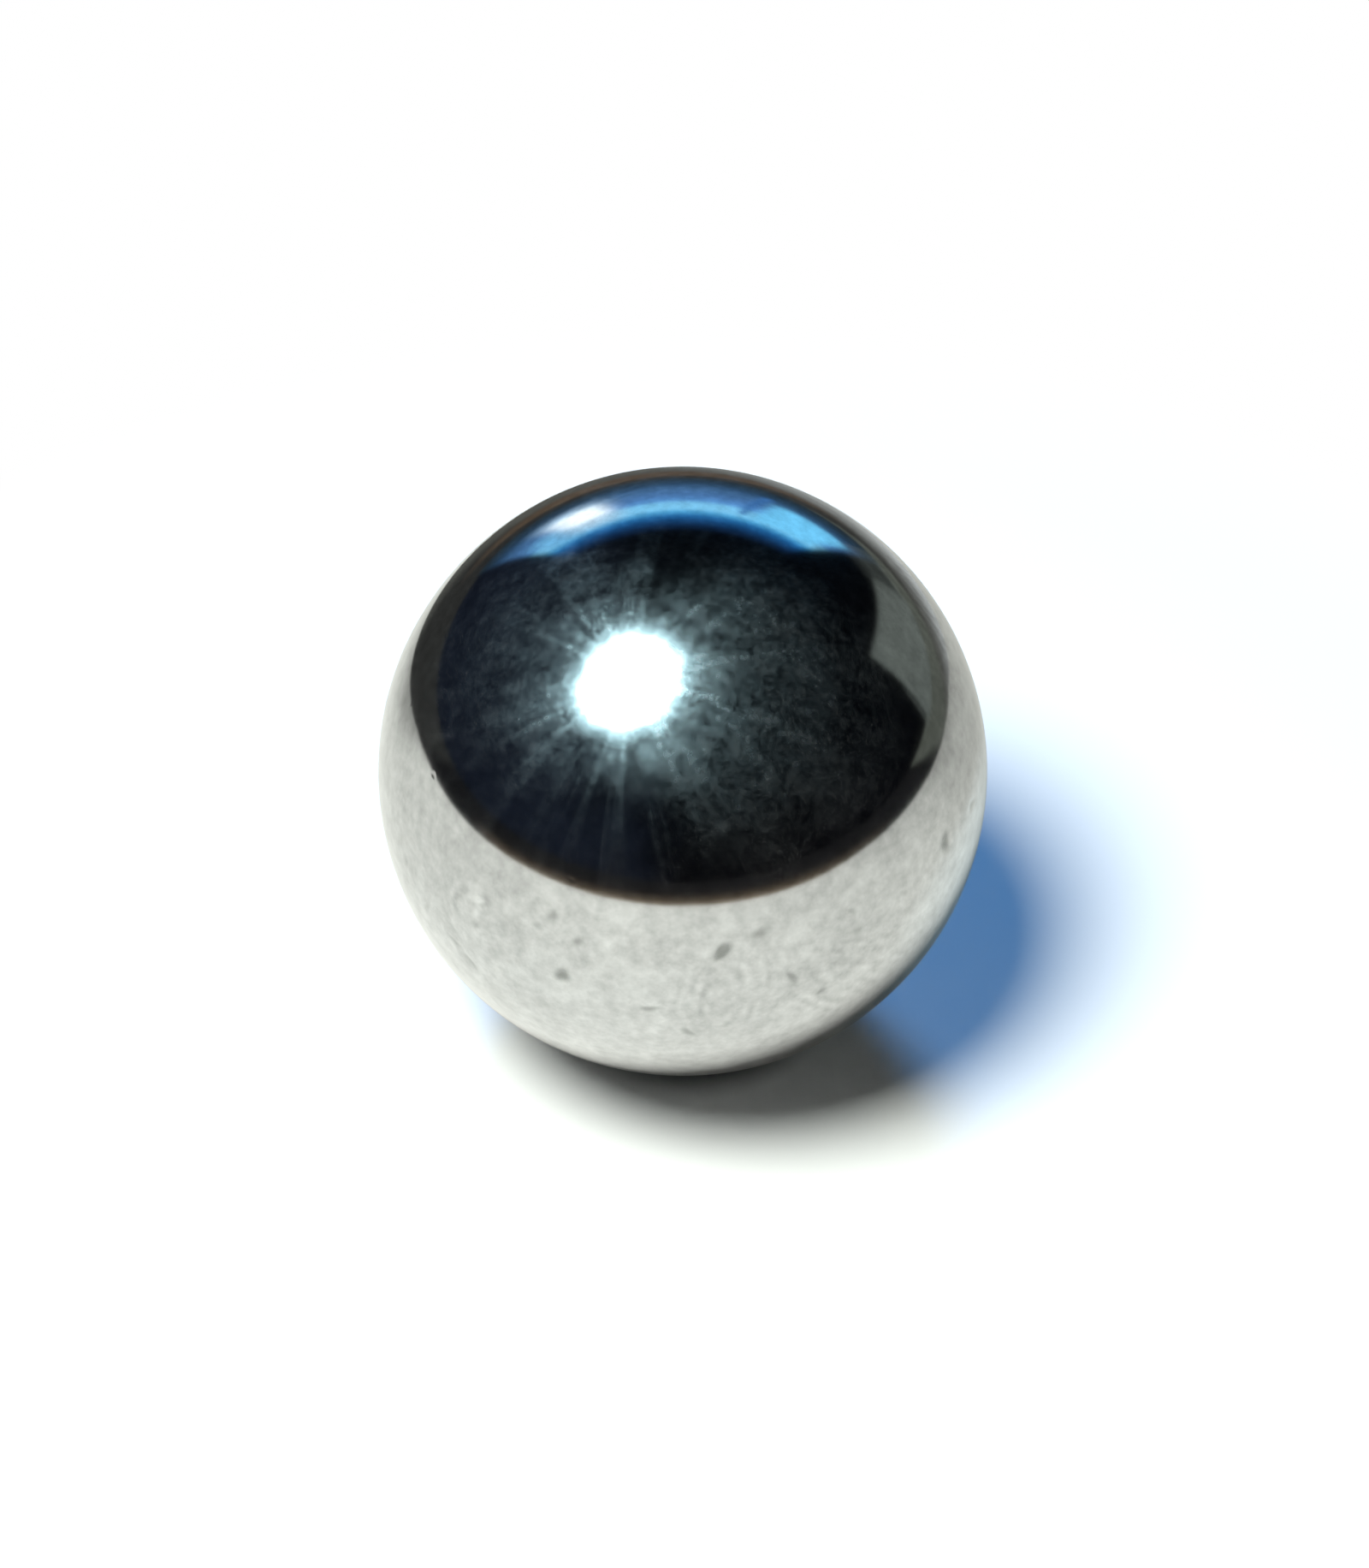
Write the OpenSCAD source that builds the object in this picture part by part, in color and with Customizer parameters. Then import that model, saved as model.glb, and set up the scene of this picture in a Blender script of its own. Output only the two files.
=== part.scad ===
// Solid steel ball, ground and lapped to a true sphere.
// The origin is the centre of the ball, and +Z is up.

/* [Ball] */
// Diameter of the ball in millimetres; stock balls run from 3 to 60
ball_d = 20; // [3:0.5:60]

/* [Drawing] */
// Facets round the ball in a preview; the solid itself stays a true sphere
preview_facets = 128; // [24:8:256]

/* [Hidden] */

// One solid with no seam, flat or hole
module ball() {
    color([0.56, 0.57, 0.58])
        sphere(d = ball_d, $fn = preview_facets);
}

ball();
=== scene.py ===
import math

import bmesh
import bpy
import numpy as np
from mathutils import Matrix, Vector


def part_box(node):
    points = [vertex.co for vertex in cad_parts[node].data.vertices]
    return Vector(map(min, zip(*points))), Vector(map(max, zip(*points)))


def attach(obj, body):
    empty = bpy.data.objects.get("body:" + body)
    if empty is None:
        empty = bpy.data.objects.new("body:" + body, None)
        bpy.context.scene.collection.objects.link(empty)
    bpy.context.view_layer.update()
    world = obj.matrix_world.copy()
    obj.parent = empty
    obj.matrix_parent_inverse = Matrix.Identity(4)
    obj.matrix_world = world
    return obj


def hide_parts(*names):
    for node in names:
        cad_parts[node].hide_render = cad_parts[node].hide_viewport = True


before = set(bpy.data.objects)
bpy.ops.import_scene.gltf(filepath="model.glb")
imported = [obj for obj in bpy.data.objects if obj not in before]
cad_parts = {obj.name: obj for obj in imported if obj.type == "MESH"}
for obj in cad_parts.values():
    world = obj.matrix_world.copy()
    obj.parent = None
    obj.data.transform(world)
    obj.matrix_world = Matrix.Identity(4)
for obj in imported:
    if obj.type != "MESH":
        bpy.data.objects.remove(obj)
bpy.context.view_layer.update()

# ---------------------------------------------------------------------------------------------
# THE BALL: ITS GROUND BLANK
# The real ball is headed from a slug of chrome steel wire, hardened, ground and lapped between
# plates until it is round to a fraction of a micron. It is one solid lump with no seam.

ball_low, ball_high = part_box("ball")
ball_radius = (ball_high.z - ball_low.z) / 2
MM = 0.001
SQUARES_ALONG_AN_EDGE = 64


def link(tree, output, socket):
    """Joins an output to an input socket, or sets the socket when given a plain value."""
    if isinstance(output, bpy.types.NodeSocket):
        tree.links.new(output, socket)
    else:
        socket.default_value = output


def add_node(tree, kind, *values, **settings):
    """Adds a node, sets its own settings, and feeds its first inputs in order."""
    node = tree.nodes.new(kind)
    for name, value in settings.items():
        setattr(node, name, value)
    for socket, value in zip(node.inputs, values):
        if value is not None:
            link(tree, value, socket)
    return node


def round_blank_tree():
    """A cube of even squares, each corner pushed out to the sphere so that the squares stay alike."""
    tree = bpy.data.node_groups.new("round_blank", "GeometryNodeTree")
    tree.interface.new_socket("Radius", in_out="INPUT", socket_type="NodeSocketFloat")
    tree.interface.new_socket("Squares", in_out="INPUT", socket_type="NodeSocketInt")
    tree.interface.new_socket("Ball", in_out="OUTPUT", socket_type="NodeSocketGeometry")
    sizes = add_node(tree, "NodeGroupInput")
    result = add_node(tree, "NodeGroupOutput")
    corners = add_node(tree, "ShaderNodeMath", sizes.outputs["Squares"], 1.0, operation="ADD").outputs[0]
    cube = add_node(tree, "GeometryNodeMeshCube", (2.0, 2.0, 2.0), corners, corners, corners)
    place = add_node(tree, "GeometryNodeInputPosition")
    angle = add_node(tree, "ShaderNodeVectorMath", place.outputs[0], operation="SCALE")
    angle.inputs["Scale"].default_value = math.pi / 4
    even = add_node(tree, "ShaderNodeVectorMath", angle.outputs[0], operation="TANGENT")
    outward = add_node(tree, "ShaderNodeVectorMath", even.outputs[0], operation="NORMALIZE")
    surface = add_node(tree, "ShaderNodeVectorMath", outward.outputs[0], operation="SCALE")
    link(tree, sizes.outputs["Radius"], surface.inputs["Scale"])
    rounded = add_node(tree, "GeometryNodeSetPosition", cube.outputs["Mesh"])
    link(tree, surface.outputs[0], rounded.inputs["Position"])
    whole = add_node(tree, "GeometryNodeRealizeInstances", rounded.outputs[0])
    finish = add_node(tree, "GeometryNodeSetMaterial", whole.outputs[0])
    finish.inputs["Material"].default_value = bpy.data.materials.new("lapped_steel")
    link(tree, finish.outputs[0], result.inputs["Ball"])
    return tree


def run_tree(tree, inputs):
    """Runs a Geometry Nodes tree on an empty mesh and gives the plain mesh that it makes."""
    holder = bpy.data.objects.new("holder", bpy.data.meshes.new("holder"))
    bpy.context.scene.collection.objects.link(holder)
    modifier = holder.modifiers.new("nodes", "NODES")
    modifier.node_group = tree
    for socket in tree.interface.items_tree:
        if socket.in_out == "INPUT":
            modifier[socket.identifier] = inputs[socket.name]
    ready = holder.evaluated_get(bpy.context.evaluated_depsgraph_get())
    mesh = bpy.data.meshes.new_from_object(ready)
    bpy.data.objects.remove(holder)
    return mesh


ball_mesh = run_tree(round_blank_tree(), {"Radius": ball_radius, "Squares": SQUARES_ALONG_AN_EDGE})
ball_mesh.name = "ball_body"

# ---------------------------------------------------------------------------------------------
# THE BALL: ITS PITS AND DENTS
# Use has left a few small pits in the lapped surface, most of them longer than wide, and many
# tiny ones. They are sunk into the mesh, so the ball never grows past its true sphere.

# longitude and latitude in degrees from the front (-Y), length, width and depth in mm, and the
# turn of the length from level, in degrees
LARGE_PITS = (
    (7, 6, 1.35, 0.66, 0.026, 62),
    (-22, -3, 1.00, 0.92, 0.022, 20),
    (-19, 6, 0.72, 0.62, 0.014, 15),
    (-24, 10, 0.80, 0.66, 0.012, 104),
    (-27, 7, 0.66, 0.46, 0.011, 21),
    (57, 9, 1.20, 1.00, 0.020, 105),
    (20, -3, 1.20, 0.46, 0.016, -58),
    (33, 3, 0.84, 0.62, 0.013, -26),
    (32, 8, 0.62, 0.42, 0.011, -24),
    (44, 6, 0.80, 0.46, 0.010, -31),
    (29, 0, 0.60, 0.46, 0.009, -24),
    (14, 9, 0.95, 0.70, 0.016, 0),
    (-6, -8, 0.95, 0.50, 0.015, 6),
    (1, -15, 1.20, 0.44, 0.016, -49),
    (26, -9, 0.80, 0.42, 0.014, 45),
    (69, 9, 0.74, 0.58, 0.012, 0),
    (-39, 6, 0.60, 0.42, 0.010, 28),
    (-62, 1, 0.90, 0.56, 0.010, 70),
    (-55, -5, 0.92, 0.50, 0.010, 60),
    (-47, -8, 1.05, 0.50, 0.012, -30),
    (-43, -11, 1.10, 0.46, 0.012, -40),
    (140, 30, 0.90, 0.50, 0.020, 30),
    (-150, -12, 0.80, 0.44, 0.018, 80),
    (110, -22, 0.95, 0.48, 0.020, -15),
    (-95, -30, 0.70, 0.50, 0.016, 50),
    (175, 5, 0.60, 0.40, 0.014, 10),
)
SMALL_PITS = 60
SMALL_PIT_WIDTH = (0.16, 0.36)
SMALL_PIT_DEPTH = 0.005
DEEPEST_PIT = 0.026
PIT_SEED = 11


def facing(longitude, latitude):
    """The direction of a point on the ball, with its level and upward directions along the surface."""
    across = math.radians(longitude)
    rise = math.radians(latitude)
    out = Vector((math.sin(across) * math.cos(rise), -math.cos(across) * math.cos(rise), math.sin(rise)))
    level = Vector((math.cos(across), math.sin(across), 0.0))
    return out, level, out.cross(level)


def all_pits():
    """One row for each pit: middle, two directions, half sizes and depth in metres, and a phase."""
    chance = np.random.default_rng(PIT_SEED)
    rows = [row + (chance.uniform(0, math.tau),) for row in LARGE_PITS]
    for _ in range(SMALL_PITS):
        width = chance.uniform(*SMALL_PIT_WIDTH)
        latitude = math.degrees(math.asin(chance.uniform(-1, 1)))
        rows.append((chance.uniform(-180, 180), latitude, width * chance.uniform(1.0, 2.2), width,
                     width * SMALL_PIT_DEPTH, chance.uniform(0, 180), chance.uniform(0, math.tau)))
    pits = []
    for longitude, latitude, length, width, depth, turn, phase in rows:
        out, level, upward = facing(longitude, latitude)
        angle = math.radians(turn)
        along = level * math.cos(angle) + upward * math.sin(angle)
        pits.append((np.array(out), np.array(along), np.array(out.cross(along)),
                     length / 2 * MM, width / 2 * MM, depth * MM, phase))
    return pits


def pit_depths(outward, pits):
    """How deep the surface lies under the true sphere in each direction."""
    depth = np.zeros(len(outward))
    for middle, along, sideways, half_length, half_width, deepest, phase in pits:
        near = np.flatnonzero(outward @ middle > math.cos(2 * half_length / ball_radius))
        if not len(near):
            continue
        u = outward[near] @ along * ball_radius / half_length
        v = outward[near] @ sideways * ball_radius / half_width
        around = np.arctan2(v, u)
        ragged = 1 + 0.13 * np.sin(2 * around + phase) + 0.09 * np.sin(3 * around + 2.3 * phase)
        reach = np.clip(1 - (u * u + v * v) * ragged ** 2, 0, None)
        depth[near] = np.maximum(depth[near], deepest * reach ** 2)
    return depth


def refine_round_pits(mesh, pits, rounds):
    """Halves the faces round each pit, a few times over, and keeps the new corners on the sphere."""
    work = bmesh.new()
    work.from_mesh(mesh)
    for number in range(rounds):
        work.faces.ensure_lookup_table()
        middles = np.array([face.calc_center_median().normalized() for face in work.faces])
        chosen = np.zeros(len(middles), bool)
        spare = 1.4 * math.radians(90 / SQUARES_ALONG_AN_EDGE) / 2 ** number
        for middle, _, _, half_length, half_width, _, _ in pits:
            coarse_enough = half_width / ball_radius < spare * 4
            if coarse_enough:
                chosen |= middles @ middle > math.cos(1.1 * half_length / ball_radius + spare)
        edges = {edge for index in np.flatnonzero(chosen) for edge in work.faces[index].edges}
        in_order = sorted(edges, key=lambda edge: edge.index)
        bmesh.ops.subdivide_edges(work, edges=in_order, cuts=1, use_grid_fill=True)
        for corner in work.verts:
            corner.co = corner.co.normalized() * ball_radius
        for group in (work.verts, work.edges, work.faces):
            group.index_update()
    bmesh.ops.triangulate(work, faces=[face for face in work.faces if len(face.verts) > 4])
    work.to_mesh(mesh)
    work.free()


def sink_pits(mesh, pits):
    """Sinks the pits, gives every corner its exact normal, and keeps how deep in a pit each corner is."""
    corners = np.empty(len(mesh.vertices) * 3)
    mesh.vertices.foreach_get("co", corners)
    corners = corners.reshape(-1, 3)
    outward = corners / np.linalg.norm(corners, axis=1, keepdims=True)
    depth = pit_depths(outward, pits)
    level = np.cross(outward, (0.0, 0.0, 1.0))
    flat = np.linalg.norm(level, axis=1) < 1e-6
    level[flat] = (1.0, 0.0, 0.0)
    level /= np.linalg.norm(level, axis=1, keepdims=True)
    upward = np.cross(outward, level)
    step = 2e-4
    normal = outward.copy()
    for side in (level, upward):
        ahead = pit_depths(outward + side * step, pits)
        behind = pit_depths(outward - side * step, pits)
        normal += side * ((ahead - behind) / (2 * step * ball_radius))[:, None]
    normal /= np.linalg.norm(normal, axis=1, keepdims=True)
    mesh.vertices.foreach_set("co", (outward * (ball_radius - depth)[:, None]).ravel())
    mesh.shade_smooth()
    mesh.normals_split_custom_set_from_vertices(normal)
    pit_mark = mesh.attributes.new("in_a_pit", "FLOAT", "POINT")
    pit_mark.data.foreach_set("value", depth / (DEEPEST_PIT * MM))


pits = all_pits()
refine_round_pits(ball_mesh, pits, 3)
sink_pits(ball_mesh, pits)
ball = bpy.data.objects.new("steel_ball", ball_mesh)
bpy.context.scene.collection.objects.link(ball)

# ---------------------------------------------------------------------------------------------
# THE BALL: ITS FINISH
# Lapped steel is a mirror. Handling has left finger marks, a thin broken film of grease and
# fine dust, and faint wipe marks. The steel is darker and rougher in the pits, and lighter in one patch.

STEEL = (0.56, 0.57, 0.575)
PIT_DARK_COLOUR = (0.16, 0.17, 0.16, 1.0)
PIT_DARKENING = 0.66
RIDGE_SPACING = 0.442
RIDGE_RELIEF = 0.001
RIDGE_RELIEF_STRENGTH = 0.10
BASE_ROUGHNESS = 0.085
FILM_ROUGHNESS = 0.40
FILM_IOR = 2.4


def number(tree, operation, first, second=0.5, third=0.5, clamp=False):
    """A Math node's result."""
    node = add_node(tree, "ShaderNodeMath", first, second, third, operation=operation, use_clamp=clamp)
    return node.outputs[0]


def total(tree, *parts):
    """The sum of each value times its share."""
    result = None
    for value, share in parts:
        if result is None:
            result = number(tree, "MULTIPLY", value, share)
        else:
            result = number(tree, "MULTIPLY_ADD", value, share, result)
    return result


def ramp(tree, value, low, high, low_result=0.0, high_result=1.0):
    """Eases a value from low to high into a result from low_result to high_result."""
    node = add_node(tree, "ShaderNodeMapRange", value, low, high, low_result, high_result)
    node.interpolation_type = "SMOOTHSTEP"
    return node.outputs[0]


def grain(tree, place, scale, detail=3.0, roughness=0.55, distortion=0.0):
    """Noise with so many lumps to the millimetre."""
    node = add_node(tree, "ShaderNodeTexNoise", place)
    node.inputs["Scale"].default_value = scale
    node.inputs["Detail"].default_value = detail
    node.inputs["Roughness"].default_value = roughness
    node.inputs["Distortion"].default_value = distortion
    return node.outputs[0]


def dust(tree, place, scale):
    """Soft round specks, so many to the millimetre, some fainter than others."""
    cells = add_node(tree, "ShaderNodeTexVoronoi", place)
    cells.inputs["Scale"].default_value = scale
    which = add_node(tree, "ShaderNodeSeparateColor", cells.outputs["Color"]).outputs[0]
    return number(tree, "MULTIPLY", ramp(tree, cells.outputs["Distance"], 0.62, 0.08), which)


def dot_product(tree, first, second):
    """The dot product of two directions."""
    return add_node(tree, "ShaderNodeVectorMath", first, second, operation="DOT_PRODUCT").outputs["Value"]


def finger_mark_group():
    """The ridges of one finger mark, looped round its middle and fading out past its size."""
    tree = bpy.data.node_groups.new("finger_mark", "ShaderNodeTree")
    for name in ("Place", "Middle", "Along", "Across"):
        tree.interface.new_socket(name, in_out="INPUT", socket_type="NodeSocketVector")
    for name in ("Squeeze", "Size"):
        tree.interface.new_socket(name, in_out="INPUT", socket_type="NodeSocketFloat")
    tree.interface.new_socket("Ridges", in_out="OUTPUT", socket_type="NodeSocketFloat")
    given = add_node(tree, "NodeGroupInput").outputs
    result = add_node(tree, "NodeGroupOutput")
    along = dot_product(tree, given["Place"], given["Along"])
    across = dot_product(tree, given["Place"], given["Across"])
    outward = dot_product(tree, given["Place"], given["Middle"])
    squeezed = number(tree, "MULTIPLY", along, given["Squeeze"])
    loop = number(tree, "SQRT", total(tree, (number(tree, "POWER", squeezed, 2.0), 1.0),
                                      (number(tree, "POWER", across, 2.0), 1.0)))
    bent = total(tree, (loop, 1.0), (grain(tree, given["Place"], 0.30, 1.0), 1.5))
    ridges = number(tree, "SINE", number(tree, "MULTIPLY", bent, math.tau / RIDGE_SPACING))
    spread = number(tree, "SQRT", total(tree, (number(tree, "POWER", along, 2.0), 1.0),
                                        (number(tree, "POWER", across, 2.0), 1.0)))
    reach = total(tree, (number(tree, "DIVIDE", spread, given["Size"]), 1.0),
                  (grain(tree, given["Place"], 0.8), 1.1))
    broken = ramp(tree, grain(tree, given["Place"], 1.3), 0.36, 0.60)
    touch = number(tree, "MULTIPLY", ramp(tree, reach, 1.55, 0.95), ramp(tree, outward, 0.0, 3.0))
    shown = number(tree, "MULTIPLY", touch, broken)
    link(tree, number(tree, "MULTIPLY", ridges, shown), result.inputs["Ridges"])
    return tree


# longitude and latitude in degrees, turn of the loops from level, their squeeze, and the size in mm
FINGER_MARKS = (
    (7, -5, 88, 0.35, 2.6),
    (34, -7, -35, 0.30, 3.2),
    (-42, 4, 60, 0.50, 1.8),
    (150, 20, 30, 0.40, 4.0),
    (-125, -5, 110, 0.45, 4.0),
    (100, 40, 60, 0.40, 3.6),
    (-160, 62, 10, 0.50, 3.6),
)

# longitude and latitude in degrees, reach in degrees, and thickness of each patch of film
FILM_PATCHES = (
    (-48, 53, 28, 0.85),
    (-50, 68, 9, 0.55),
    (21, 51, 32, 1.85),
    (18, 50, 11, 0.40),
    (-32, 44, 14, 0.30),
    (150, 25, 40, 0.50),
    (-120, -15, 40, 0.55),
    (85, -40, 30, 0.45),
    (175, 65, 26, 0.45),
)
WIPE_START = (-16, 55)
LIGHTER_STEEL_PATCH = (-14, -10)


def steel_material():
    """Mirror steel whose film, dust, marks and pits come from patterns fixed to the ball."""
    material = bpy.data.materials["lapped_steel"]
    material.use_nodes = True
    tree = material.node_tree
    tree.nodes.clear()
    here = add_node(tree, "ShaderNodeTexCoord").outputs["Object"]
    place = add_node(tree, "ShaderNodeVectorMath", here, operation="SCALE")
    place.inputs["Scale"].default_value = 1 / MM
    place = place.outputs[0]
    outward = add_node(tree, "ShaderNodeVectorMath", here, operation="NORMALIZE").outputs[0]

    # Finger marks
    mark_group = finger_mark_group()
    marks = []
    for longitude, latitude, turn, squeeze, size in FINGER_MARKS:
        out, level, upward = facing(longitude, latitude)
        angle = math.radians(turn)
        along = level * math.cos(angle) + upward * math.sin(angle)
        mark = add_node(tree, "ShaderNodeGroup", node_tree=mark_group)
        link(tree, place, mark.inputs["Place"])
        mark.inputs["Middle"].default_value = out
        mark.inputs["Along"].default_value = along
        mark.inputs["Across"].default_value = out.cross(along)
        mark.inputs["Squeeze"].default_value = squeeze
        mark.inputs["Size"].default_value = size
        marks.append((mark.outputs["Ridges"], 1.0))
    ridges = total(tree, *marks)

    # Grain at three sizes
    clouds = grain(tree, place, 0.55, 4.0, 0.60)
    lumps = grain(tree, place, 2.1, 3.0, 0.60)
    fine = grain(tree, place, 5.5, 2.0, 0.60)

    # Patches of thicker film, with uneven edges
    patches = []
    for longitude, latitude, reach, thickness in FILM_PATCHES:
        near = dot_product(tree, outward, facing(longitude, latitude)[0])
        uneven = total(tree, (near, 1.0), (clouds, 0.12))
        full = math.cos(math.radians(reach * 0.25)) + 0.06
        none = math.cos(math.radians(reach)) + 0.06
        patches.append((ramp(tree, uneven, none, full), thickness))
    patch = total(tree, *patches)

    # Wipe marks that run outward from one point, weaker above it
    start, level, upward = facing(*WIPE_START)
    sideways = dot_product(tree, place, level)
    lengthways = dot_product(tree, place, upward)
    turn = number(tree, "ARCTAN2", sideways, lengthways)
    reach = number(tree, "SQRT", total(tree, (number(tree, "POWER", sideways, 2.0), 1.0),
                                       (number(tree, "POWER", lengthways, 2.0), 1.0)))
    polar = add_node(tree, "ShaderNodeCombineXYZ", number(tree, "MULTIPLY", turn, 7.5),
                     number(tree, "MULTIPLY", reach, 0.14), 0.0).outputs[0]
    wipes = ramp(tree, grain(tree, polar, 1.0, 2.0, 0.5), 0.45, 0.66)
    wipes = number(tree, "MULTIPLY", wipes, ramp(tree, reach, 8.5, 3.0))
    wipes = number(tree, "MULTIPLY", wipes, ramp(tree, dot_product(tree, outward, start), 0.2, 0.5))
    wipes = number(tree, "MULTIPLY", wipes, ramp(tree, lengthways, 4.6, 2.4, 0.35, 1.0))

    # Fine dust in two sizes, and the uneven film that it lies in
    large_dust = dust(tree, place, 2.3)
    small_dust = dust(tree, place, 4.4)
    specks = total(tree, (large_dust, 0.35), (small_dust, 0.35), (fine, 0.90), (lumps, 1.10),
                   (clouds, 1.00), (1.0, -0.98))

    # The film's cover
    cover = total(tree, (patch, 0.53), (wipes, 0.44), (1.0, 0.05))
    cover = number(tree, "MULTIPLY", cover, specks, clamp=True)

    # The dust's share of the surface, thickest in the patches of film
    clumps = total(tree, (ramp(tree, lumps, 0.47, 0.70), 0.50), (ramp(tree, fine, 0.48, 0.72), 0.45),
                   (small_dust, 0.08))
    dusty = number(tree, "MULTIPLY", clumps, total(tree, (patch, 0.015), (wipes, 0.009), (1.0, 0.002)))
    bare = number(tree, "SUBTRACT", 1.0, dusty, clamp=True)

    # Darker colour and more roughness in the pits
    pit_mark = add_node(tree, "ShaderNodeAttribute", attribute_name="in_a_pit").outputs["Fac"]
    deep_in_pit = ramp(tree, pit_mark, 0.0, 0.90)

    # Colour
    # A patch low on the front, a little to the left, where the steel colour is lighter, so the mirror
    # shows brighter there
    lighter_patch = ramp(tree, dot_product(tree, outward, facing(*LIGHTER_STEEL_PATCH)[0]), 0.972, 0.996)
    shade = total(tree, (number(tree, "SUBTRACT", lumps, 0.5), 0.74),
                  (number(tree, "SUBTRACT", fine, 0.5), 0.12),
                  (number(tree, "SUBTRACT", clouds, 0.5), 0.46),
                  (ridges, 0.095), (lighter_patch, 0.060), (1.0, 1.0))
    tint = add_node(tree, "ShaderNodeVectorMath", STEEL, operation="SCALE")
    link(tree, shade, tint.inputs["Scale"])
    colour = add_node(tree, "ShaderNodeMix", data_type="RGBA")
    link(tree, number(tree, "MULTIPLY", deep_in_pit, PIT_DARKENING), colour.inputs[0])
    link(tree, tint.outputs[0], colour.inputs[6])
    colour.inputs[7].default_value = PIT_DARK_COLOUR

    # Roughness
    roughness = total(tree, (cover, 0.05), (deep_in_pit, 0.24), (1.0, BASE_ROUGHNESS))

    # Relief
    bump = add_node(tree, "ShaderNodeBump")
    bump.inputs["Strength"].default_value = RIDGE_RELIEF_STRENGTH
    bump.inputs["Distance"].default_value = RIDGE_RELIEF * MM
    link(tree, ridges, bump.inputs["Height"])

    steel = add_node(tree, "ShaderNodeBsdfPrincipled")
    link(tree, colour.outputs[2], steel.inputs["Base Color"])
    link(tree, bare, steel.inputs["Metallic"])
    link(tree, roughness, steel.inputs["Roughness"])
    link(tree, bump.outputs[0], steel.inputs["Normal"])
    link(tree, cover, steel.inputs["Coat Weight"])
    steel.inputs["Coat Roughness"].default_value = FILM_ROUGHNESS
    steel.inputs["Coat IOR"].default_value = FILM_IOR
    output = add_node(tree, "ShaderNodeOutputMaterial")
    link(tree, steel.outputs[0], output.inputs["Surface"])
    return material


steel_material()
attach(ball, "root")
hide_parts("ball")

# ---------------------------------------------------------------------------------------------
# THE FLOOR
# A plain white floor that the camera sees, with a painted shadow under the ball, a white sheet of
# the size that the ball mirrors, with painted shade and painted daylight, and the dim bench round
# the sheet, whose light and shade are painted into its glow.

FLOOR_HALF_WIDTH = 60 * ball_radius

# the sheet's outline, in ball radii
SHEET_CORNERS = (
    (0.2, -7.9), (2.4, -7.5), (4.5, -6.7), (6.4, -5.6), (8.2, -4.2), (9.0, -2.2), (9.2, -0.2), (8.6, 1.7),
    (7.6, 3.3), (6.2, 4.2), (0.5, 3.7), (-3.0, 3.4), (-4.8, 3.2), (-6.6, 2.8), (-7.8, 1.8), (-8.3, 0.6),
    (-8.2, -1.4), (-7.6, -3.4), (-6.5, -5.2), (-4.8, -6.6), (-2.4, -7.5),
)


def show_only_to(thing, camera=False, glossy=False, diffuse=False, shadow=False):
    """Says which rays meet a stage object."""
    thing.visible_camera = camera
    thing.visible_glossy = glossy
    thing.visible_diffuse = diffuse
    thing.visible_transmission = False
    thing.visible_volume_scatter = False
    thing.visible_shadow = shadow


def flat_stage(name, corners, material, marks=None, faces=None):
    """A flat thing that isn't part of the object: one face unless told, and a map if marks are given."""
    mesh = bpy.data.meshes.new(name)
    mesh.from_pydata(corners, [], faces or [tuple(range(len(corners)))])
    if marks:
        layer = mesh.uv_layers.new(name="card")
        for loop in mesh.loops:
            layer.data[loop.index].uv = marks[loop.vertex_index]
    mesh.materials.append(material)
    thing = bpy.data.objects.new(name, mesh)
    bpy.context.scene.collection.objects.link(thing)
    return thing


def empty_material(name):
    """A new material with nothing in it but its output."""
    material = bpy.data.materials.new(name)
    material.use_nodes = True
    tree = material.node_tree
    tree.nodes.clear()
    return material, tree, add_node(tree, "ShaderNodeOutputMaterial").inputs["Surface"]


def mixed(tree, share, first, second):
    """Two colours mixed by a share."""
    node = add_node(tree, "ShaderNodeMix", data_type="RGBA")
    link(tree, share, node.inputs[0])
    link(tree, first, node.inputs[6])
    link(tree, second, node.inputs[7])
    return node.outputs[2]


def floor_material():
    """White paint with a painted shadow right under the ball, lit near it and plain bright white further
    out.
    """
    material, tree, surface = empty_material("white_floor")
    here = add_node(tree, "ShaderNodeTexCoord").outputs["Object"]
    level = add_node(tree, "ShaderNodeVectorMath", here, (1.0, 1.0, 0.0), operation="MULTIPLY")
    radius = add_node(tree, "ShaderNodeVectorMath", level.outputs[0], operation="LENGTH").outputs["Value"]
    # Painted shadow: right under the ball the paint turns dark grey.
    painted_contact_shadow = ramp(tree, radius, 0.56 * ball_radius, 0.38 * ball_radius)
    paint = add_node(tree, "ShaderNodeBsdfDiffuse",
                     mixed(tree, painted_contact_shadow, (0.93, 0.93, 0.93, 1.0), (0.15, 0.15, 0.15, 1.0)))
    glow = add_node(tree, "ShaderNodeEmission", (1.0, 1.0, 1.0, 1.0), 1.0)
    blend = add_node(tree, "ShaderNodeMixShader", ramp(tree, radius, 2.4 * ball_radius, 4.2 * ball_radius))
    link(tree, paint.outputs[0], blend.inputs[1])
    link(tree, glow.outputs[0], blend.inputs[2])
    link(tree, blend.outputs[0], surface)
    return material


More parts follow.
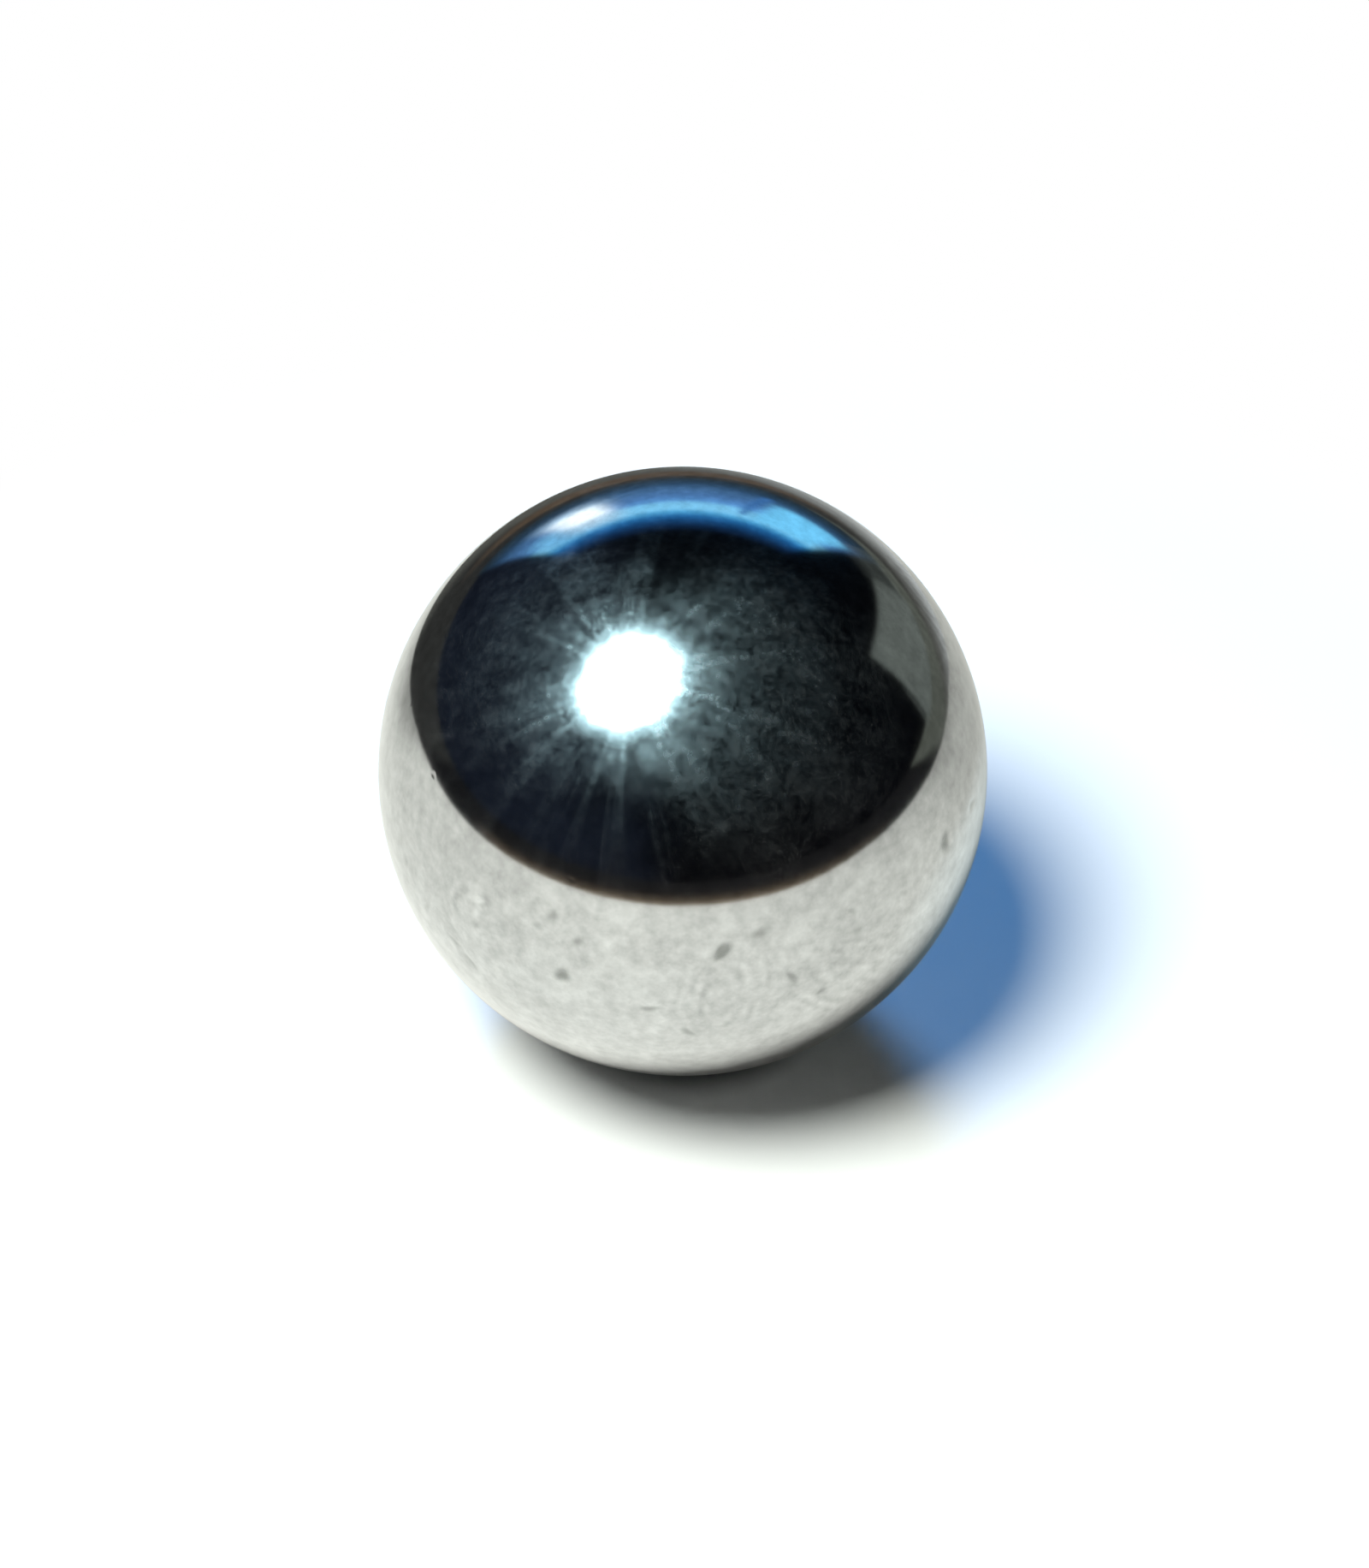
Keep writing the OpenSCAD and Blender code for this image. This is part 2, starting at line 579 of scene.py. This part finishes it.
def sheet_material():
    """White paper with painted shade to the left, behind and in bounced light, and painted daylight beside
    the ball.
    """
    material, tree, surface = empty_material("white_sheet")
    here = add_node(tree, "ShaderNodeTexCoord").outputs["Object"]
    across, deep, _ = add_node(tree, "ShaderNodeSeparateXYZ", here).outputs
    # Painted shade: the paper is darker to the left and behind, where the lamp's light falls off.
    left = ramp(tree, across, -1.2 * ball_radius, -4.0 * ball_radius)
    right = ramp(tree, across, -3.0 * ball_radius, 2.0 * ball_radius)
    behind = ramp(tree, deep, -0.5 * ball_radius, 1.7 * ball_radius)
    far_left = number(tree, "MULTIPLY", left, ramp(tree, deep, 1.2 * ball_radius, 2.8 * ball_radius))
    painted_shade = total(tree, (left, 0.15), (number(tree, "MULTIPLY", right, behind), 0.29), (far_left, 0.40))
    # Painted shade: the paper is darker where bounced light reaches it, so less light bounces on.
    bounced = add_node(tree, "ShaderNodeLightPath").outputs["Diffuse Depth"]
    painted_shade = total(tree, (painted_shade, 1.0), (number(tree, "MINIMUM", bounced, 1.0), 0.12))
    paper = mixed(tree, painted_shade, (0.865, 0.835, 0.815, 1.0), (0.0, 0.0, 0.0, 1.0))
    matt = add_node(tree, "ShaderNodeBsdfDiffuse", paper)
    # Painted daylight: the paper glows blue beside the ball, in the lamp's shadow.
    away = add_node(tree, "ShaderNodeVectorMath", here, (1.5 * ball_radius, 0.5 * ball_radius, ball_low.z),
                    operation="DISTANCE").outputs["Value"]
    painted_daylight = add_node(tree, "ShaderNodeEmission", (0.11, 0.17, 0.20, 1.0),
                        ramp(tree, away, 1.35 * ball_radius, 0.2 * ball_radius))
    both = add_node(tree, "ShaderNodeAddShader")
    link(tree, matt.outputs[0], both.inputs[0])
    link(tree, painted_daylight.outputs[0], both.inputs[1])
    link(tree, both.outputs[0], surface)
    return material


def bench_material():
    """A bench top whose light and shade are painted into its glow: dark in front and to the left, lit
    behind and to the right.
    """
    material, tree, surface = empty_material("dim_bench")
    here = add_node(tree, "ShaderNodeTexCoord").outputs["Object"]
    across, deep, _ = add_node(tree, "ShaderNodeSeparateXYZ", here).outputs
    radius = add_node(tree, "ShaderNodeVectorMath", here, operation="LENGTH").outputs["Value"]

    # In front, with painted brown light along the sheet's edge
    ahead = ramp(tree, deep, -2.0 * ball_radius, -5.0 * ball_radius)
    wide = number(tree, "MULTIPLY", ramp(tree, radius, 15.0 * ball_radius, 8.5 * ball_radius), ahead)
    narrow = number(tree, "MULTIPLY", ramp(tree, radius, 10.0 * ball_radius, 8.0 * ball_radius), ahead)
    front = mixed(tree, wide, (0.011, 0.011, 0.012, 1.0), (0.070, 0.050, 0.032, 1.0))
    front = mixed(tree, narrow, front, (0.300, 0.215, 0.130, 1.0))

    # Behind, with painted shade to the left and painted light close to the sheet on the right
    back = mixed(tree, ramp(tree, deep, 5.0 * ball_radius, 14.0 * ball_radius),
                 (0.110, 0.112, 0.100, 1.0), (0.052, 0.051, 0.047, 1.0))
    far_left = ramp(tree, across, -1.5 * ball_radius, -4.0 * ball_radius)
    back = mixed(tree, far_left, back, (0.036, 0.037, 0.035, 1.0))
    edge_light = total(tree, (ramp(tree, deep, 6.0 * ball_radius, 3.8 * ball_radius), 0.30),
                       (ramp(tree, deep, 12.0 * ball_radius, 4.0 * ball_radius), 0.28))
    from_left = ramp(tree, across, -0.8 * ball_radius, 2.4 * ball_radius)
    from_right = ramp(tree, across, 8.0 * ball_radius, 1.5 * ball_radius)
    edge_light = number(tree, "MULTIPLY", edge_light, number(tree, "MULTIPLY", from_left, from_right))
    back = mixed(tree, edge_light, back, (0.95, 1.0, 1.0, 1.0))
    far_right = ramp(tree, across, 7.0 * ball_radius, 9.5 * ball_radius)
    back = mixed(tree, far_right, back, (0.130, 0.142, 0.120, 1.0))

    # A small brown thing far behind, painted into the glow
    far_behind = (-1.2 * ball_radius, 12.0 * ball_radius, ball_low.z)
    away = add_node(tree, "ShaderNodeVectorMath", here, far_behind, operation="DISTANCE").outputs["Value"]
    brown = ramp(tree, away, 6.0 * ball_radius, 3.0 * ball_radius)
    back = mixed(tree, brown, back, (0.125, 0.090, 0.062, 1.0))

    colour = mixed(tree, ramp(tree, deep, 1.8 * ball_radius, 3.6 * ball_radius), front, back)
    link(tree, add_node(tree, "ShaderNodeEmission", colour, 1.0).outputs[0], surface)
    return material


def level_square(half_width, height):
    """The corners of a level square round the middle."""
    return [(-half_width, -half_width, height), (half_width, -half_width, height),
            (half_width, half_width, height), (-half_width, half_width, height)]


floor = flat_stage("floor", level_square(FLOOR_HALF_WIDTH, ball_low.z), floor_material())
show_only_to(floor, camera=True)
sheet_height = ball_low.z - 0.02 * MM
sheet = flat_stage("sheet", [(x * ball_radius, y * ball_radius, sheet_height) for x, y in SHEET_CORNERS],
                   sheet_material())
show_only_to(sheet, glossy=True, diffuse=True)
bench = flat_stage("bench", level_square(FLOOR_HALF_WIDTH, ball_low.z - 0.3 * MM), bench_material())
show_only_to(bench, glossy=True)

# ---------------------------------------------------------------------------------------------
# THE LIGHTS
# A round lamp to the left in front, a wide cool panel behind, and a dim card to the right. Each
# has a face that only the ball's mirror sees, and soft lights shine on the floor and sheet.

LAMP_DISTANCE = 26 * ball_radius
LAMP_HALF_ANGLE = 18.4
LAMP_SIDES = 9
LAMP_STRETCH = 1.10
LAMP_GLOW = (0.64, 0.98, 1.06, 1.0)
LAMP_GLOW_STRENGTH = 16.5
LAMP_LIGHT_SIZE = 1.42
LAMP_LIGHT_COLOUR = (0.95, 1.0, 0.94)
LAMP_WATTS = 1.01
GLOW_REACH = 1.28
PANEL_DISTANCE = 30 * ball_radius


def toward(azimuth, elevation):
    """A direction in degrees: azimuth 0 is behind the ball (+Y) and 90 is to the right (+X)."""
    turn = math.radians(azimuth)
    rise = math.radians(elevation)
    return Vector((math.sin(turn) * math.cos(rise), math.cos(turn) * math.cos(rise), math.sin(rise)))


def area_light(name, direction, distance, shape, width, height, colour, watts):
    """A soft light that faces the ball and lights matt surfaces only."""
    data = bpy.data.lights.new(name, "AREA")
    data.shape = shape
    data.size = width
    data.size_y = height
    data.color = colour
    data.energy = watts
    light = bpy.data.objects.new(name, data)
    light.location = direction * distance
    light.rotation_euler = direction.to_track_quat("Z", "Y").to_euler()
    light.visible_camera = False
    light.visible_glossy = False
    bpy.context.scene.collection.objects.link(light)
    return light


def glow_material(name):
    """An empty glowing material: its tree, the two places on the card, its glow and its cover."""
    material, tree, surface = empty_material(name)
    card_map = add_node(tree, "ShaderNodeTexCoord").outputs["UV"]
    spot = add_node(tree, "ShaderNodeSeparateXYZ", card_map).outputs
    glow = add_node(tree, "ShaderNodeEmission")
    clear = add_node(tree, "ShaderNodeBsdfTransparent")
    blend = add_node(tree, "ShaderNodeMixShader")
    link(tree, clear.outputs[0], blend.inputs[1])
    link(tree, glow.outputs[0], blend.inputs[2])
    link(tree, blend.outputs[0], surface)
    return material, tree, spot, glow, blend.inputs[0]


def soft_box(tree, spot, left, right, bottom, top, edge):
    """1 inside a rectangle on the card and 0 outside, with a soft edge."""
    sides = number(tree, "MULTIPLY", ramp(tree, spot[0], left - edge, left + edge),
                   ramp(tree, spot[0], right + edge, right - edge))
    ends = number(tree, "MULTIPLY", ramp(tree, spot[1], bottom - edge, bottom + edge),
                  ramp(tree, spot[1], top + edge, top - edge))
    return number(tree, "MULTIPLY", sides, ends)


def upright_card(name, azimuth, left, right, bottom, top, material):
    """An upright card square to one azimuth. Its sides and its map are in panel distances."""
    ahead = toward(azimuth, 0)
    side = toward(azimuth + 90, 0)
    marks = [(left, bottom), (right, bottom), (right, top), (left, top)]
    corners = [(ahead + side * u + Vector((0, 0, v))) * PANEL_DISTANCE for u, v in marks]
    card = flat_stage(name, corners, material, marks)
    show_only_to(card, glossy=True)
    return card


# The lamp
lamp_direction = toward(-129.2, 65.4)
lamp_radius = math.tan(math.radians(LAMP_HALF_ANGLE)) * LAMP_DISTANCE
area_light("lamp_light", toward(-131.5, 63.2), LAMP_DISTANCE, "DISK", LAMP_LIGHT_SIZE * lamp_radius,
           LAMP_LIGHT_SIZE * lamp_radius, LAMP_LIGHT_COLOUR, LAMP_WATTS)


def lamp_face():
    """The lamp's nearly round face with a faint glow round it, mapped in lamp radii from the middle."""
    material, tree, spot, glow, share = glow_material("lamp_glow")
    face = ramp(tree, spot[0], 0.93, 0.80)
    fringe = ramp(tree, spot[0], GLOW_REACH, 0.86)
    link(tree, total(tree, (face, 0.92), (fringe, 0.08)), share)
    glow.inputs["Color"].default_value = LAMP_GLOW
    glow.inputs["Strength"].default_value = LAMP_GLOW_STRENGTH
    side = lamp_direction.cross(Vector((0, 0, 1))).normalized()
    rise = side.cross(lamp_direction)
    marks = [(0.0, 0.0)] + [(GLOW_REACH, 0.0)] * LAMP_SIDES
    corners = [lamp_direction * LAMP_DISTANCE]
    for index in range(LAMP_SIDES):
        turn = (index + 0.8) * math.tau / LAMP_SIDES
        corner = side * math.cos(turn) + rise * math.sin(turn) * LAMP_STRETCH
        corners.append(corners[0] + corner * GLOW_REACH * lamp_radius)
    faces = [(0, 1 + index, 1 + (index + 1) % LAMP_SIDES) for index in range(LAMP_SIDES)]
    show_only_to(flat_stage("lamp_face", corners, material, marks, faces), glossy=True)


lamp_face()

# The cool panel behind: height on the panel in panel distances, and the glow there
PANEL_LEVELS = (
    (0.00, (0.025, 0.045, 0.065)),
    (0.07, (0.030, 0.072, 0.134)),
    (0.12, (0.047, 0.124, 0.260)),
    (0.18, (0.078, 0.200, 0.420)),
    (0.29, (0.108, 0.285, 0.660)),
    (0.36, (0.150, 0.440, 0.980)),
    (0.41, (0.330, 0.920, 1.400)),
    (0.49, (0.360, 1.000, 1.500)),
    (0.54, (0.120, 0.600, 1.100)),
    (0.60, (0.025, 0.230, 0.630)),
    (0.67, (0.011, 0.090, 0.285)),
    (0.76, (0.006, 0.025, 0.080)),
    (0.84, (0.003, 0.006, 0.015)),
)
BRIGHTEST_GLOW = 2.5
WINDOW_LIGHT_COLOUR = (0.14, 0.44, 1.0)
WINDOW_WATTS = 0.66


def cool_panel():
    """A panel that is pale blue along its top, with a bright pane to the right and a hot corner."""
    material, tree, spot, glow, share = glow_material("cool_glow")
    levels = add_node(tree, "ShaderNodeValToRGB", spot[1])
    stops = levels.color_ramp.elements
    stops.remove(stops[0])
    for index, (height, colour) in enumerate(PANEL_LEVELS):
        stop = stops[0] if index == 0 else stops.new(height)
        stop.position = height
        stop.color = tuple(part / BRIGHTEST_GLOW for part in colour) + (1.0,)

    def add_box(colour, box, edge, glow_colour):
        fresh = tuple(part / BRIGHTEST_GLOW for part in glow_colour) + (1.0,)
        return mixed(tree, soft_box(tree, spot, *box, edge), colour, fresh)

    colour = levels.outputs[0]
    colour = add_box(colour, (-0.61, -0.40, 0.28, 0.52), 0.07, (0.250, 0.715, 1.180))
    colour = add_box(colour, (-0.45, -0.25, 0.14, 0.50), 0.08, (0.800, 1.150, 1.450))
    colour = add_box(colour, (-0.43, -0.27, 0.20, 0.38), 0.05, (2.000, 2.200, 2.300))
    colour = add_box(colour, (0.28, 0.57, 0.16, 0.50), 0.035, (0.270, 0.960, 1.520))
    colour = add_box(colour, (0.215, 0.245, 0.10, 0.47), 0.02, (0.060, 0.220, 0.600))
    link(tree, colour, glow.inputs["Color"])
    glow.inputs["Strength"].default_value = BRIGHTEST_GLOW
    link(tree, soft_box(tree, spot, -0.65, 0.60, -1.0, 2.0, 0.035), share)
    upright_card("cool_panel", 0, -0.72, 0.64, -0.033, 0.84, material)


cool_panel()
window_light = area_light("window_light", toward(-2, 31), PANEL_DISTANCE, "RECTANGLE",
                          0.25 * PANEL_DISTANCE, 0.18 * PANEL_DISTANCE, WINDOW_LIGHT_COLOUR, WINDOW_WATTS)
lit_by_window = bpy.data.collections.new("lit_by_window")
lit_by_window.objects.link(floor)
window_light.light_linking.receiver_collection = lit_by_window


def grey_card():
    """A dim grey card to the right, lit grey by a painted glow, whose top slopes down to the left."""
    material, tree, spot, glow, share = glow_material("grey_card_glow")
    slope = total(tree, (spot[0], 0.55), (1.0, 0.340))
    below = ramp(tree, number(tree, "SUBTRACT", slope, spot[1]), -0.02, 0.03)
    sides = number(tree, "MULTIPLY", ramp(tree, spot[0], -0.36, -0.26), ramp(tree, spot[0], 0.29, 0.25))
    lit = number(tree, "MULTIPLY", below, sides)
    corner = number(tree, "MULTIPLY", ramp(tree, spot[0], -0.62, -0.48), ramp(tree, spot[1], 0.26, 0.10))
    link(tree, number(tree, "MAXIMUM", lit, number(tree, "MULTIPLY", corner, 0.32)), share)
    glow.inputs["Color"].default_value = (0.165, 0.188, 0.172, 1.0)
    upright_card("grey_card", 55, -0.62, 0.31, -0.033, 0.50, material)


grey_card()


def dark_room():
    """The camera sees a plain white backdrop. The ball mirrors a dark room, a little blue to the left."""
    world = bpy.data.worlds.new("dark_room")
    bpy.context.scene.world = world
    world.use_nodes = True
    tree = world.node_tree
    tree.nodes.clear()
    direction = add_node(tree, "ShaderNodeTexCoord").outputs["Generated"]
    across = add_node(tree, "ShaderNodeSeparateXYZ", direction).outputs[0]
    leftward = total(tree, (across, 1.0), (grain(tree, direction, 2.2, 2.0), 0.9))
    dark = mixed(tree, ramp(tree, leftward, 0.5, -0.3),
                 (0.0015, 0.0018, 0.003, 1.0), (0.010, 0.014, 0.025, 1.0))
    seen = add_node(tree, "ShaderNodeLightPath").outputs["Is Camera Ray"]
    colour = mixed(tree, seen, dark, (1.0, 1.0, 1.0, 1.0))
    backdrop = add_node(tree, "ShaderNodeBackground", colour, 1.0)
    output = add_node(tree, "ShaderNodeOutputWorld")
    link(tree, backdrop.outputs[0], output.inputs["Surface"])


dark_room()

# ---------------------------------------------------------------------------------------------
# THE CAMERA
# A long lens looks down on the ball from 40 degrees above the floor.

CAMERA_ELEVATION = 40
CAMERA_DISTANCE = 12 * ball_radius
BALL_SHARE_OF_HEIGHT = 0.3886
AIM_RIGHT = 0.0056 * ball_radius
AIM_DOWN = 0.0423 * ball_radius

camera_data = bpy.data.cameras.new("camera")
camera = bpy.data.objects.new("camera", camera_data)
bpy.context.scene.collection.objects.link(camera)
bpy.context.scene.camera = camera
to_camera = toward(180, CAMERA_ELEVATION)
camera_up = toward(0, 90 - CAMERA_ELEVATION)
middle = (ball_low + ball_high) / 2
aim = middle + Vector((AIM_RIGHT, 0, 0)) - camera_up * AIM_DOWN
camera.location = middle + to_camera * CAMERA_DISTANCE
camera.rotation_euler = (camera.location - aim).to_track_quat("Z", "Y").to_euler()
edge_angle = math.asin(ball_radius / CAMERA_DISTANCE)
camera_data.sensor_width = 36
camera_data.lens = camera_data.sensor_width * BALL_SHARE_OF_HEIGHT / 2 / math.tan(edge_angle)
camera_data.clip_start = ball_radius / 10
camera_data.clip_end = 1000 * ball_radius
bpy.context.scene.view_settings.view_transform = "Standard"
